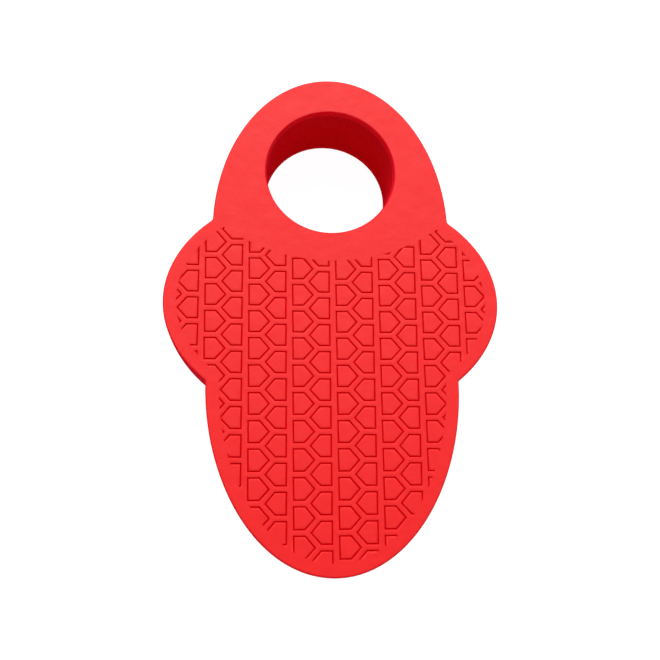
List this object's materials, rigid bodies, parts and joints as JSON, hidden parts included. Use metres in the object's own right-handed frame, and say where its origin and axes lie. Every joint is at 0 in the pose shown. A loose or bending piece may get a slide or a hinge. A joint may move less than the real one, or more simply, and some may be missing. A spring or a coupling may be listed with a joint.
{
  "type": "batting thumb guard",
  "caption": "Thick foam pad worn on the thumb of the top hand when batting: a ring with a round thumb hole, rounded wings, a long tongue and a shallow grip tread on the front.",
  "frame": {"origin": "middle of the bounding box on the flat back face, which the guard lies on", "axes": "+Y runs from the tongue's tip to the thumb ring, +Z out of the treaded front face, +X to the right seen from the front"},
  "size_m": [0.0554, 0.0844, 0.0152],
  "materials": {
    "foam": "matte red closed-cell foam with a fine grain"
  },
  "bodies": {
    "root": {"guard_pad": "foam"}
  },
  "joints": []
}
